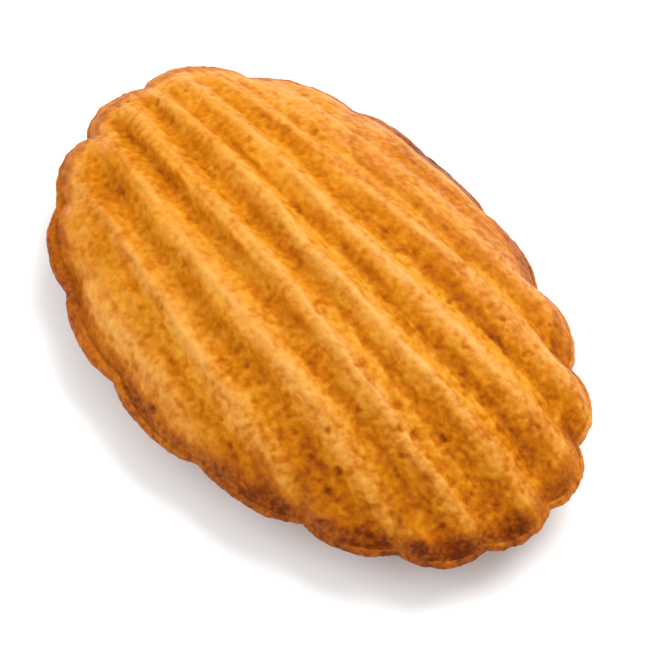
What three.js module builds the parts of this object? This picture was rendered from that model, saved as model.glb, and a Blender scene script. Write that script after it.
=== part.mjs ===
// A madeleine: a small sponge cake baked in a ribbed shell mould and turned out shell side up.
// It is one piece, and it lies on the browned hump that rose out of the mould while it baked.
// All lengths are in millimetres and all angles in degrees.
// X runs along the cake to its broad end, Y runs across it and Z is up.
// The origin is on the table, in the middle of the cake's length and width.
import * as THREE from 'three';

// Driving dimensions of the whole cake.
const halfLength = 39.6;
const halfWidth = 25.4;
const rimHeight = 6.5;
const shellHeight = 13.4;
const shellRoundness = 0.76;

// The rim's scallops, counted round from the broad end: the angle of each crown, how far it
// reaches past the plain ellipse, and how deep the notch after it is cut.
const scallops = [
  { angle: -2, reach: 0.6, notch: 1.2 },
  { angle: 19, reach: 1.0, notch: 1.3 },
  { angle: 38, reach: 1.0, notch: 1.5 },
  { angle: 57, reach: 0.5, notch: 1.3 },
  { angle: 76, reach: 0.0, notch: 0.6 },
  { angle: 95, reach: 0.0, notch: 0.5 },
  { angle: 109, reach: 0.6, notch: 0.8 },
  { angle: 128, reach: 0.7, notch: 1.2 },
  { angle: 158, reach: 1.2, notch: 1.2 },
  { angle: 184, reach: 0.0, notch: 1.6 },
  { angle: 207, reach: 0.2, notch: 1.1 },
  { angle: 228, reach: 1.0, notch: 1.0 },
  { angle: 249, reach: 1.1, notch: 1.0 },
  { angle: 270, reach: 0.9, notch: 1.0 },
  { angle: 294, reach: 0.1, notch: 1.5 },
  { angle: 315, reach: 0.2, notch: 1.3 },
  { angle: 336, reach: 0.9, notch: 1.2 },
];
const scallopRoundness = 2.2;
const scallopFade = 5;

// The ribs fan out from the narrow end. Each of these is worth so much at the middle of the
// cake, and changes by so much for each millimetre, and each square millimetre, of X. The fan
// opens on the +Y side of its midline. On the -Y side the ribs run almost side by side, and
// the first groove lies nearer the midline by a share of a rib.
const openSpacing = { middle: 5.9, slope: 0.0745, bend: 0.00035 };
const closeSpacing = { middle: 5.9, slope: 0.027, bend: 0 };
const fanMidline = { middle: -0.55, slope: -0.0515, bend: 0.0016 };
const closeShift = 0.15;

// Two places in the fan lie off the rule: the rib there, how many ribs away that is still felt,
// and by what share of a rib it is off at the narrow end and at the broad end.
const ribTurns = [
  { rib: 0, pull: 0.9, atNarrowEnd: 0, atBroadEnd: 0.17 },
  { rib: -2.6, pull: 0.6, atNarrowEnd: -0.15, atBroadEnd: 0 },
];
const ribTurnReach = { first: -2, last: 8 };

// The ribs are full and the grooves between them soft. A rib falls away sooner on its +Y side.
const ribDepthShare = 0.23;
const widestDeepRib = 6.6;
const grooveSoftness = 0.28;
const ribFullness = 1.6;
const ribLean = 0.2;

// Each rib sways a little from the rule, and some grooves are deeper than others.
const ribSway = { size: 0.05, alongX: 0.13, fromRibToRib: 1.9 };
const ribUnevenness = { size: 0.12, alongX: 0.05, acrossY: 0.9, phase: 0.6 };

// Towards either side the ribs flatten: the rib where that starts, the rib where it is done
// and the share of the depth that is left there. At the broad end the open side's ribs hold for
// a further share of a rib.
const openSideFade = { first: 1.7, last: 2.7, depthLeft: 0.2 };
const closeSideFade = { first: -2.5, last: -3.6, depthLeft: 0.45 };
const broadEndHold = 0.3;
const broadEndReach = { first: 0, last: 25 };
const rimFade = { first: 0.9, last: 1, depthLeft: 0.3 };

// On the -Y side the grooves are cut deeper towards the narrow end.
const closeSideExtra = 0.4;
const closeSideRibs = { first: 0.8, last: -0.2 };
const closeSideReach = { first: 14, last: -10 };

// A thin bead lies in each groove but one, this share of the way from one crown to the next. It
// moves aside within the groove, and back, between the ribs that are given. It comes and goes
// along its way, it is lower where the ribs are narrow, and it ends before the broad end and
// short of the rim.
const beadPlace = 0.5;
const beadPlaceAside = 0.77;
const beadMovesAside = { first: -3.1, last: -2.9 };
const beadMovesBack = { first: -0.9, last: -0.1 };
const bareGrooveFrom = { first: -1.1, last: -0.9 };
const bareGrooveTo = { first: -0.1, last: 0.1 };
const beadHalfWidth = 0.14;
const beadHeight = 0.75;
const beadLoss = { size: 0.35, alongX: 0.42, fromRibToRib: 2.4 };
const beadEnd = { first: 12, last: 2 };
const beadRimEnd = { first: 0.93, last: 0.8 };

// Towards the narrow end all ribs are shallower.
const narrowEndFade = { first: -8, last: -24, depthLeft: 0.8 };

// At the narrow end the ribs stop short of the rim and leave a plain band.
const plainBandReach = { first: -8, last: -30 };
const plainBand = { first: 0.78, last: 0.97 };

// A thin rolled lip runs round the foot of the shell. It is widest along one side.
const lipWidth = 0.5;
const wideLipExtra = 1.1;
const wideLipAngle = 240;
const wideLipReach = 42;
const creaseRise = 1.0;
const lipBulge = 0.45;

// The underside: the edge turns in under the rim, and the hump swells down to a flat spot.
const edgeTurn = 1.8;
const edgeTurnEnd = 0.84;
const humpStart = 0.86;
const flatSpot = 0.27;
const lumpyFrom = 0.6;
const lumpyTo = 0.9;

// Slow lumps that the crumb leaves in every surface. They are the sum of three waves, each with
// its share of a turn for one lump spacing of X, Y and Z and the angle that it starts with.
const topLump = 0.1;
const undersideLump = 0.35;
const lumpSpacing = 7;
const lumpWaves = [
  { alongX: 0.8, acrossY: 0.5, upZ: 0, start: 1.3 },
  { alongX: 0.45, acrossY: -0.9, upZ: 0.3, start: 2.9 },
  { alongX: 0.2, acrossY: 0.25, upZ: -0.7, start: 0.4 },
];

// How finely the surfaces are divided.
const stepsAlong = 40;
const stepsAcross = 96;
const steepestInside = 0.03;
const lipRings = 2;
const fineUndersideRings = [0.975];
const undersideRings = [0.91, 0.81, 0.7, 0.58, 0.47, 0.36];

const crustColour = 0xd8892b;
const crustRoughness = 0.62;

function radians(degrees) {
  return THREE.MathUtils.degToRad(degrees);
}

function curveAt(curve, x) {
  return curve.middle + curve.slope * x + curve.bend * x * x;
}

// Runs smoothly from 0 at the first edge to 1 at the second, which may be the lower one.
function blend(value, first, second) {
  const share = THREE.MathUtils.clamp((value - first) / (second - first), 0, 1);
  return share * share * (3 - 2 * share);
}

function blendOver(value, range) {
  return blend(value, range.first, range.last);
}

function wrapDegrees(angle) {
  return THREE.MathUtils.euclideanModulo(angle + 180, 360) - 180;
}

// How far the scalloped outline stands outside the plain ellipse at an angle in degrees.
function scallopReach(angle) {
  const count = scallops.length;
  for (let k = 0; k < count; k += 1) {
    const crown = scallops[k];
    const turn = wrapDegrees(angle - crown.angle);
    const neighbour = scallops[(k + (turn < 0 ? count - 1 : 1)) % count];
    const halfGap = Math.abs(wrapDegrees(neighbour.angle - crown.angle)) / 2;
    const share = Math.abs(turn) / halfGap;
    if (share <= 1) {
      const depth = turn < 0 ? neighbour.notch : crown.notch;
      const notchReach = (crown.reach + neighbour.reach) / 2 - depth;
      return crown.reach + (notchReach - crown.reach) * share ** scallopRoundness;
    }
  }
  return 0;
}

// 1 where the lip is widest, and 0 where it is narrow.
function wideLipShare(angle) {
  const turn = Math.abs(wrapDegrees(angle - wideLipAngle));
  return 1 - blend(turn, 0, wideLipReach);
}

function lipWidthAt(angle) {
  return lipWidth + wideLipExtra * wideLipShare(angle);
}

// The place in plan at a share of the way out from the middle, moved outwards by a distance.
function planPoint(share, angle, outwards) {
  const turn = radians(angle);
  const normal = new THREE.Vector2(Math.cos(turn) / halfLength, Math.sin(turn) / halfWidth);
  normal.normalize().multiplyScalar(outwards);
  return new THREE.Vector2(
    share * halfLength * Math.cos(turn) + normal.x,
    share * halfWidth * Math.sin(turn) + normal.y,
  );
}

// Slow unevenness between -1 and 1, the same on every run.
function lumps(x, y, z) {
  const wholeTurn = (2 * Math.PI) / lumpSpacing;
  let sum = 0;
  for (const wave of lumpWaves) {
    const place = wave.alongX * x + wave.acrossY * y + wave.upZ * z;
    sum += Math.sin(wholeTurn * place + wave.start);
  }
  return sum / lumpWaves.length;
}

function ribSpacingAt(x, y) {
  return curveAt(y > curveAt(fanMidline, x) ? openSpacing : closeSpacing, x);
}

// Which rib of the fan a place lies on: whole on a crown, and halfway between in a groove.
function ribNumberAt(x, y) {
  const rib = (y - curveAt(fanMidline, x)) / ribSpacingAt(x, y);
  const towardsBroadEnd = blendOver(x, ribTurnReach);
  let number = rib - closeShift * blend(rib, 0, -1);
  for (const turn of ribTurns) {
    const size = THREE.MathUtils.lerp(turn.atNarrowEnd, turn.atBroadEnd, towardsBroadEnd);
    number -= size * blend(Math.abs(rib - turn.rib), turn.pull, 0);
  }
  return number;
}

function swayedRib(x, rib) {
  return rib + ribSway.size * Math.sin(ribSway.alongX * x + ribSway.fromRibToRib * Math.round(rib));
}

// How far the surface lies below the crown of its rib: 0 on a crown and 1 in a groove.
function grooveShare(rib) {
  const aside = rib - Math.round(rib);
  const fallsSooner = 1 - 2 * ribLean * Math.max(aside, 0);
  const offGroove = Math.hypot((1 - 2 * Math.abs(aside)) * fallsSooner, grooveSoftness);
  return (Math.max(1 - offGroove, 0) / (1 - grooveSoftness)) ** ribFullness;
}

// 1 until a fade starts, and the depth it leaves once it is done.
function depthLeftAt(fade, value) {
  return 1 - (1 - fade.depthLeft) * blendOver(value, fade);
}

function ribDepthAt(x, y, rib, share) {
  const spacing = Math.min(ribSpacingAt(x, y), widestDeepRib);
  const ribbed = 1 - blendOver(x, plainBandReach) * blendOver(share, plainBand);
  const held = broadEndHold * blendOver(x, broadEndReach);
  const sidesLeft = depthLeftAt(openSideFade, rib - held) * depthLeftAt(closeSideFade, rib);
  const deeper = 1 + closeSideExtra * blendOver(rib, closeSideRibs) * blendOver(x, closeSideReach);
  const wave = Math.sin(ribUnevenness.acrossY * y + ribUnevenness.alongX * x + ribUnevenness.phase);
  const uneven = 1 + ribUnevenness.size * wave;
  const endsLeft = depthLeftAt(narrowEndFade, x) * depthLeftAt(rimFade, share);
  return ribDepthShare * spacing * ribbed * sidesLeft * deeper * uneven * endsLeft;
}

function beadHeightAt(x, y, rib, share) {
  const aside = blendOver(rib, beadMovesAside) - blendOver(rib, beadMovesBack);
  const place = THREE.MathUtils.lerp(beadPlace, beadPlaceAside, aside);
  const swayed = swayedRib(x, rib);
  const profile = blend(Math.abs(swayed - Math.floor(swayed) - place), beadHalfWidth, 0);
  const wave = Math.sin(beadLoss.alongX * x + beadLoss.fromRibToRib * Math.floor(rib));
  const shown = 1 - blendOver(rib, bareGrooveFrom) + blendOver(rib, bareGrooveTo);
  const narrowed = (ribSpacingAt(x, y) / openSpacing.middle) ** 2;
  const left = (1 - beadLoss.size * (1 + wave)) * shown * narrowed;
  return beadHeight * profile * left * blendOver(x, beadEnd) * blendOver(share, beadRimEnd);
}

// How far the shell stands off its smooth dome, with its grooves, beads and lumps.
function reliefAt(x, y, height, share) {
  const rib = ribNumberAt(x, y);
  const groove = ribDepthAt(x, y, rib, share) * grooveShare(swayedRib(x, rib));
  const lump = topLump * lumps(x, y, height) * (1 - share ** scallopFade);
  return beadHeightAt(x, y, rib, share) + lump - groove;
}

// The ribbed shell: a dome over the scalloped outline, with its relief raised along the normal.
function shellPoint(share, angle) {
  const outwards = (scallopReach(angle) - lipWidthAt(angle)) * share ** scallopFade;
  const plan = planPoint(share, angle, outwards);
  const inside = Math.max(1 - share * share, 0);
  const height = rimHeight + creaseRise + shellHeight * inside ** shellRoundness;
  const point = new THREE.Vector3(plan.x, plan.y, height);
  const fall = Math.max(inside, steepestInside) ** (shellRoundness - 1);
  const steepness = 2 * shellRoundness * shellHeight * fall;
  const turn = radians(angle);
  const normal = new THREE.Vector3(
    (steepness * share * Math.cos(turn)) / halfLength,
    (steepness * share * Math.sin(turn)) / halfWidth,
    1,
  ).normalize();
  return point.addScaledVector(normal, reliefAt(plan.x, plan.y, height, share));
}

// The rolled lip, from the crease at the shell's foot (0) out to the widest line (1).
function lipPoint(along, angle) {
  const quarter = radians(90 * along);
  const inwards = lipWidthAt(angle) * (1 - Math.sin(quarter));
  const plan = planPoint(1, angle, scallopReach(angle) - inwards);
  const bulge = lipBulge * wideLipShare(angle) * Math.sin(2 * quarter);
  return new THREE.Vector3(plan.x, plan.y, rimHeight + creaseRise * Math.cos(quarter) + bulge);
}

function undersidePoint(share, angle) {
  const plan = planPoint(share, angle, scallopReach(angle) * share ** scallopFade);
  const turned = edgeTurn * Math.sqrt(blend(share, 1, edgeTurnEnd));
  const hump = (rimHeight - edgeTurn) * blend(share, humpStart, flatSpot);
  const height = rimHeight - turned - hump;
  const lumpy = blend(share, flatSpot, lumpyFrom) * blend(share, 1, lumpyTo);
  const lump = undersideLump * lumps(plan.x, plan.y, 0) * lumpy;
  return new THREE.Vector3(plan.x, plan.y, height + lump);
}

// The square from -1 to 1, stretched onto the unit disc, keeps its lines along the ribs.
function discPlace(u, v) {
  const x = u * Math.sqrt(1 - (v * v) / 2);
  const y = v * Math.sqrt(1 - (u * u) / 2);
  return { share: Math.min(Math.hypot(x, y), 1), angle: THREE.MathUtils.radToDeg(Math.atan2(y, x)) };
}

function addPoint(points, point) {
  points.push(point.x, point.y, point.z);
  return points.length / 3 - 1;
}

// The shell's grid of points, row by row, and its triangles. Each quarter of the grid is split
// along the diagonals that point to its own corner, which keeps the corner triangles open.
function addShell(points, triangles) {
  const places = [];
  const rows = [];
  for (let j = 0; j <= stepsAcross; j += 1) {
    const row = [];
    for (let i = 0; i <= stepsAlong; i += 1) {
      const place = discPlace((2 * i) / stepsAlong - 1, (2 * j) / stepsAcross - 1);
      const index = addPoint(points, shellPoint(place.share, place.angle));
      places[index] = place;
      row.push(index);
    }
    rows.push(row);
  }
  for (let j = 0; j < stepsAcross; j += 1) {
    for (let i = 0; i < stepsAlong; i += 1) {
      const [a, b] = [rows[j][i], rows[j][i + 1]];
      const [d, c] = [rows[j + 1][i], rows[j + 1][i + 1]];
      const towardsOwnCorner = (i < stepsAlong / 2) === (j < stepsAcross / 2);
      if (towardsOwnCorner) {
        triangles.push(a, b, c, a, c, d);
      } else {
        triangles.push(a, b, d, b, c, d);
      }
    }
  }
  return edgeOfGrid(rows, places);
}

// The grid's outer points in order round the cake, each with its angle.
function edgeOfGrid(rows, places) {
  const last = rows.length - 1;
  const right = rows[0].length - 1;
  const edge = [];
  for (let j = 0; j < last; j += 1) edge.push(rows[j][right]);
  for (let i = right; i > 0; i -= 1) edge.push(rows[last][i]);
  for (let j = last; j > 0; j -= 1) edge.push(rows[j][0]);
  for (let i = 0; i < right; i += 1) edge.push(rows[0][i]);
  return { indices: edge, angles: edge.map((index) => places[index].angle) };
}

function addRing(points, angles, pointAt) {
  return { indices: angles.map((angle) => addPoint(points, pointAt(angle))), angles };
}

// Joins a ring to the one below it, which has as many points.
function joinRings(triangles, upper, lower) {
  const count = upper.indices.length;
  for (let k = 0; k < count; k += 1) {
    const next = (k + 1) % count;
    const [a, b] = [upper.indices[k], upper.indices[next]];
    const [c, d] = [lower.indices[k], lower.indices[next]];
    triangles.push(a, c, d, a, d, b);
  }
}

// Joins a ring to the one below it, which has half as many points.
function joinToHalfRing(triangles, upper, lower) {
  const count = lower.indices.length;
  for (let k = 0; k < count; k += 1) {
    const a = upper.indices[2 * k];
    const b = upper.indices[2 * k + 1];
    const c = upper.indices[(2 * k + 2) % upper.indices.length];
    const d = lower.indices[k];
    const e = lower.indices[(k + 1) % count];
    triangles.push(a, d, b, d, e, b, b, e, c);
  }
}

function everySecond(angles) {
  return angles.filter((angle, k) => k % 2 === 0);
}

// The lip and the underside, ring by ring from the shell's edge down to the flat spot.
function addUnderside(points, triangles, shellEdge) {
  let ring = shellEdge;
  const fineRings = [];
  for (let k = 1; k <= lipRings; k += 1) {
    fineRings.push((angle) => lipPoint(k / lipRings, angle));
  }
  for (const share of fineUndersideRings) {
    fineRings.push((angle) => undersidePoint(share, angle));
  }
  for (const pointAt of fineRings) {
    const next = addRing(points, shellEdge.angles, pointAt);
    joinRings(triangles, ring, next);
    ring = next;
  }
  for (const share of [...undersideRings, flatSpot]) {
    const halve = share === undersideRings[0] || share === flatSpot;
    const angles = halve ? everySecond(ring.angles) : ring.angles;
    const next = addRing(points, angles, (angle) => undersidePoint(share, angle));
    (halve ? joinToHalfRing : joinRings)(triangles, ring, next);
    ring = next;
  }
  const middle = addPoint(points, new THREE.Vector3(0, 0, 0));
  for (let k = 0; k < ring.indices.length; k += 1) {
    triangles.push(middle, ring.indices[(k + 1) % ring.indices.length], ring.indices[k]);
  }
}

// The uneven scallops leave the outline a little off centre.
function centreOnOrigin(geometry) {
  geometry.computeBoundingBox();
  const middle = geometry.boundingBox.getCenter(new THREE.Vector3());
  geometry.translate(-middle.x, -middle.y, 0);
}

// Golden baked crust: matt to satin, with no metal in it.
function bakedCrust() {
  return new THREE.MeshStandardMaterial({
    color: crustColour,
    roughness: crustRoughness,
    metalness: 0,
  });
}

function madeleine() {
  const points = [];
  const triangles = [];
  addUnderside(points, triangles, addShell(points, triangles));
  const geometry = new THREE.BufferGeometry();
  geometry.setAttribute('position', new THREE.Float32BufferAttribute(points, 3));
  geometry.setIndex(triangles);
  centreOnOrigin(geometry);
  geometry.computeVertexNormals();
  const mesh = new THREE.Mesh(geometry, bakedCrust());
  mesh.name = 'madeleine';
  return mesh;
}

const cake = new THREE.Group();
cake.add(madeleine());

export default cake;
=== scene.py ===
"""A madeleine lying shell side up: a golden sponge cake with a fan of ribs and a brown, scalloped rim.

The cake's own sizes are in millimetres, as a baker's mould is measured, and become metres once,
when its mesh is made. X runs to the broad end, Y across the cake and Z up. Angles are in degrees.
"""

import math

import bpy
import numpy as np
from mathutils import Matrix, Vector


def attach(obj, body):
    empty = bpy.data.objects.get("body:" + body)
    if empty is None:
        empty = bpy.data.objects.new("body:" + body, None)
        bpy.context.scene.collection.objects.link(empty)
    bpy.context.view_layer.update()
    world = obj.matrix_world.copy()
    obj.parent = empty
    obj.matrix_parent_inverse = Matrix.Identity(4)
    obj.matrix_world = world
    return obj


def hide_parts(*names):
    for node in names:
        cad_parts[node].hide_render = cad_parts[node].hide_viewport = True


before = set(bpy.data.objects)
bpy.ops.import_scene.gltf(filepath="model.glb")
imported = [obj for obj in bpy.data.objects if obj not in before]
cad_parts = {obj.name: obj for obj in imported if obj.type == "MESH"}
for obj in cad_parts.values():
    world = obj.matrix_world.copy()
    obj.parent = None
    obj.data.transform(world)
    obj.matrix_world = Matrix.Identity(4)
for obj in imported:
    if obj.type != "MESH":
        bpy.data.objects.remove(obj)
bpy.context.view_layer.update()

MM = 0.001

# ---------------------------------------------------------------- sizes of the cake's form

# These are the same as in the cake's solid. A share of the way out is 0 in the middle of the cake
# and 1 at the foot of its shell. A fade holds where it starts, where it is done and what is left.
HALF_LENGTH = 39.6
HALF_WIDTH = 25.4
RIM_HEIGHT = 6.5
SHELL_HEIGHT = 13.4
SHELL_ROUNDNESS = 0.76
# Crown angle, reach past the ellipse and depth of the notch that follows, round from the broad end.
SCALLOPS = (
    (-2, 0.6, 1.2), (19, 1.0, 1.3), (38, 1.0, 1.5), (57, 0.5, 1.3), (76, 0.0, 0.6), (95, 0.0, 0.5),
    (109, 0.6, 0.8), (128, 0.7, 1.2), (158, 1.2, 1.2), (184, 0.0, 1.6), (207, 0.2, 1.1),
    (228, 1.0, 1.0), (249, 1.1, 1.0), (270, 0.9, 1.0), (294, 0.1, 1.5), (315, 0.2, 1.3),
    (336, 0.9, 1.2),
)
SCALLOP_ROUNDNESS = 2.2
SCALLOP_FADE = 5

# Worth at the cake's middle, change per millimetre of X and change per square millimetre. The fan
# opens on its +Y side, and on its -Y side the ribs run almost side by side.
OPEN_SPACING = (5.9, 0.0745, 0.00035)
CLOSE_SPACING = (5.9, 0.027, 0.0)
CLOSE_SHIFT = 0.15  # the first groove on the -Y side is this much of a rib nearer the midline
FAN_MIDLINE = (-0.55, -0.0515, 0.0016)
# Two places in the fan lie off the rule: the rib there, how many ribs away that is still felt, and
# by what share of a rib they are off at the narrow end and at the broad end.
RIB_TURNS = ((0.0, 0.9, 0.0, 0.17), (-2.6, 0.6, -0.15, 0.0))
RIB_TURN_REACH = (-2, 8)
RIB_SWAY = (0.05, 0.13, 1.9)  # share of a rib, change with X, and change from rib to rib

# A groove is this share of its rib's width deep, and no deeper for a rib wider than the second.
RIB_DEPTH_SHARE = 0.23
WIDEST_DEEP_RIB = 6.6
GROOVE_SOFTNESS = 0.28
RIB_FULLNESS = 1.6
RIB_LEAN = 0.2  # how much sooner a rib falls away on its +Y side
RIB_UNEVENNESS = (0.12, 0.05, 0.9, 0.6)  # share of the depth, change with X and with Y, and start
# Towards either side of the cake the ribs flatten, counted in ribs. At the broad end the open
# side's ribs hold for a further share of a rib.
OPEN_SIDE_FADE = (1.7, 2.7, 0.2)
CLOSE_SIDE_FADE = (-2.5, -3.6, 0.45)
BROAD_END_HOLD = 0.3
BROAD_END_REACH = (0, 25)
# The ribs are shallower towards the narrow end and towards the rim. At the narrow end they leave a
# plain band along the rim: the shares of the way out, and the X, between which it comes in.
NARROW_END_FADE = (-8, -24, 0.8)
RIM_FADE = (0.9, 1, 0.3)
PLAIN_BAND = (0.78, 0.97)
PLAIN_BAND_REACH = (-8, -30)
# On the close side the grooves are cut deeper towards the narrow end: how much deeper, the rib
# where that is done and where it starts, and the X where it starts and is done.
CLOSE_SIDE_EXTRA = 0.4
CLOSE_SIDE_RIBS = (0.8, -0.2)
CLOSE_SIDE_REACH = (14, -10)

# A thin bead lies in each groove but one, this share of the way from one crown to the next. It
# moves aside within the groove, and back, between the ribs that are given. It comes and goes, and
# it ends before the broad end and short of the rim.
BEAD_PLACE = 0.5
BEAD_PLACE_ASIDE = 0.77
BEAD_MOVES_ASIDE = (-3.1, -2.9)
BEAD_MOVES_BACK = (-0.9, -0.1)
BARE_GROOVE_FROM = (-1.1, -0.9)
BARE_GROOVE_TO = (-0.1, 0.1)
BEAD_HALF_WIDTH = 0.14
BEAD_HEIGHT = 0.75
BEAD_COMES_AND_GOES = (0.35, 0.42, 2.4)  # share lost, change with X, and change from rib to rib
BEAD_END = (12, 2)
BEAD_RIM_END = (0.93, 0.8)

# A thin rolled lip runs round the foot of the shell, with a crease between them. It is widest along
# one side.
LIP_WIDTH = 0.5
WIDE_LIP_EXTRA = 1.1
WIDE_LIP_ANGLE = 240
WIDE_LIP_REACH = 42
CREASE_RISE = 1.0
LIP_BULGE = 0.45
# Below it the edge turns in, and the hump swells down to a flat spot. The ends of both are shares
# of the way out, and so are the places between which the underside is lumpy.
EDGE_TURN = 1.8
EDGE_TURN_END = 0.84
HUMP_START = 0.86
FLAT_SPOT = 0.27
LUMPY_FROM = 0.6
LUMPY_TO = 0.9
UNDERSIDE_LUMP = 0.35
LUMP_SPACING = 7.0
# Each wave's share of a turn for one spacing of X and of Y, and the angle in radians it starts at.
LUMP_WAVES = ((0.8, 0.5, 1.3), (0.45, -0.9, 2.9), (0.2, 0.25, 0.4))

# How finely the skin is divided: about a quarter of a millimetre on the shell.
STEPS_ALONG = 300
STEPS_ACROSS = 220
LIP_RINGS = 8
EDGE_RINGS = 6
UNDERSIDE_RINGS = 26
# The share of the way out goes on past the shell: by this much over the lip, and then to about 2
# in the middle of the underside.
LIP_SHARE = 0.01

# ---------------------------------------------------------------- sizes of the crumb

# A range gives the two values of a pattern between which something changes, and what it is there.
RANGE = ("From Min", "From Max", "To Min", "To Max")

RIB_WANDER = 0.06
WANDERS = ((8.0, 1.0), (2.4, 0.25))  # size of each wander, and its share
CRUMB_SIZE = 1.0
CRUMB_HEIGHT = 0.12
LUMP_SIZE = 5.0
LUMP_HEIGHT = 0.14
PORE_SIZE = 0.9
PORE_DEPTH = 0.05
PORE_DIMPLE = (0.15, 0.5, -1.0, 0.0)
GRAIN_SIZE = 1.2
GRAIN_RAGGEDNESS = 0.65
GAP_DEPTH = 0.14
GAPS_BETWEEN_GRAINS = (0.56, 0.3, 0.0, 1.0)
OPEN_PATCH_SIZE = 3.0
OPEN_PATCHES = (0.35, 0.6, 0.2, 1.0)
WRINKLE_LENGTH = 12.0
WRINKLES_PER_RIB = 4.0
WRINKLE_HEIGHT = 0.27
DEEP_GROOVES = (0.0, 1.2 * MM, 0.0, 1.0)
# The crumb is this rough, and rougher by so much towards the broad end's close side: the direction
# in X and Y, and where along it that starts and is done.
CRUMB_ROUGHNESS = 0.75
CRUMB_ROUGHENS_BY = 0.24
CRUMB_ROUGHENS_TO = (0.9, -0.6)
CRUMB_ROUGHENS_REACH = (-2, 30)
SMOOTH_FLAT_SPOT = 1.7  # share of the way out from where the underside took no crumb
PIT_DENSITY = 0.014  # to the square millimetre, where the crumb is rough
PIT_RADII = (0.25, 0.75)
PIT_DEPTH = 0.45  # as a share of the pit's radius
PIT_WOBBLES = 0.9  # to the millimetre
PIT_WOBBLE = 1.2
# Bubbles that broke open near the broad end: X, Y and radius. Each is a little off the round.
BROKEN_BUBBLES = (
    (21.5, -5.0, 0.9), (23.6, -6.6, 0.7), (25.2, -5.6, 0.8), (25.9, -8.4, 0.6), (22.3, -14.8, 0.8),
    (27.5, -3.0, 0.6), (18.2, -13.0, 0.5),
)
BUBBLE_DEPTH = 0.45
BUBBLE_FLOOR = 0.3  # the share of its radius that is as deep as that
BUBBLE_WOBBLE = (0.25, 3.1, 2.3)  # share of the radius, change with X, and change with Y
CRUST_SEED = 11

# ---------------------------------------------------------------- how the oven browned it, and where light and shade are painted

# The side that the oven browned most, and that also takes painted shade, as it is turned from the
# key light. The cosine of the turn away from it tells how far it reaches.
BROWNED_AND_SHADED_SIDE_ANGLE = -62
BROWNED_AND_SHADED_SIDE_REACH = (-0.5, 0.6)
# The rim's brown band starts about this share of the way out, and comes in between so much before
# that and so much past it. On the browned and shaded side it starts sooner on the crowns of the
# scallops, raggedly, and on the other side it starts sooner all along.
BAND_START = 0.975
BAND_COMES_IN = (-0.03, 0.01)
BAND_SOONER_ON_CROWNS = 0.012
BAND_SOONER_ON_OTHER_SIDE = 0.03
RAGGED_WAVES = ((1.7, 0.9, 0), (0.8, -2.1, 1))
SCALLOP_CROWN_REACH = (2, 10)
BAND_BROWNING = 0.46
# On that side the band is darker still: more browning, and painted shade.
SHADED_SIDE_EXTRA_BROWNING_AND_SHADE = 0.16
LIP_BROWNING = 0.08
# The crease between the lip and the shell is darker: painted shade.
LIP_CREASE_PAINTED_SHADE = 0.1
LIP_CREASE_REACH = (0.97, 1)
# On that side the lip and all below it are darker.
UNDER_LIP_DARKENING = 0.14
UNDERSIDE_BROWNING = 0.22
UNDERSIDE_FULL = 1.12  # share of the way out from where all of the underside has that
PALEST = -0.2

# Parts of the shell that are browner, or paler, than the rest, some browned and some with painted
# light and shade: by how much, and the part's edges.
# An edge has what is measured there, where the part starts and where it is full. Along is X,
# across is Y, out is the share of the way out, rib is the rib's number, and past crown is the share
# of the way from a rib's crown to the next.
SHORT_OF_RIM = (("out", 0.92, 0.8),)
OPEN_FLANKS = SHORT_OF_RIM + (
    ("past crown", 0.05, 0.25), ("past crown", 0.48, 0.38), ("along", -20, -8), ("rib", -3, -2),
    ("rib", 3, 2.7),
)
NARROW_END = SHORT_OF_RIM + (("along", -2, -18), ("along", -34, -28))
BROWNED_AND_PAINTED_LIGHT_PARTS = (
    # The broad end is brown, though less so on its open side.
    (0.16, (("along", 10, 34),)),
    (-0.096, (("along", 10, 34), ("across", 6, 14))),
    # The middle of the narrow end is darker and the close side paler. The open side is darker:
    # painted shade against the key light that falls full on it.
    (0.1, (("along", -8, -26), ("along", -33, -25), ("across", 12, 2), ("across", -16, -8))),
    (0.27, (("across", 6, 14), ("along", -26, -6), ("along", 22, 12))),
    (-0.1, (("across", -15, -19), ("along", 6, -4), ("out", 0.93, 0.85))),
    # The ribs' flanks towards the open side are pale, and paler yet on that side's own ribs: painted
    # light on the flanks that face the key light.
    (-0.066, OPEN_FLANKS),
    (-0.154, OPEN_FLANKS + (("rib", -1, 0),)),
    # The other feet of that side's ribs are darker: painted shade on the flanks turned from the key light.
    (0.12, SHORT_OF_RIM + (
        ("past crown", 0.48, 0.56), ("past crown", 0.76, 0.66), ("rib", 0, 0.5), ("along", -8, 4),
        ("along", 30, 20),
    )),
    # Two crowns at the narrow end are darker too: painted shade that damps the key light on them.
    (0.16, NARROW_END + (("rib", -3.5, -3.1), ("rib", -2.5, -2.9))),
    (0.096, NARROW_END + (("rib", 1.4, 1.8), ("rib", 2.6, 2.2))),
    # All round, the shell darkens towards its foot.
    (0.12, (("out", 0.7, 0.97),)),
)
# Places round the rim that browned more, or less, than the rest: the angle, how far round it
# reaches, the share of the way out where it starts and where it is full, and the browning.
RIM_PATCHES = (
    (30, 56, 0.88, 0.97, -0.32),
    (24, 18, 0.74, 0.86, 0.12),
    (246, 34, 0.93, 0.97, -0.18),
    (252, 20, 0.84, 0.90, -0.08),
    (266, 18, 0.78, 0.88, 0.22),
    (267, 20, 0.92, 0.97, -0.12),
    (294, 20, 0.74, 0.90, 0.30),
    (308, 16, 0.86, 0.94, 0.22),
    (302, 34, 0.94, 0.98, -0.24),
    (330, 26, 0.80, 0.90, 0.05),
    (104, 26, 0.80, 0.95, 0.16),
)

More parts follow.
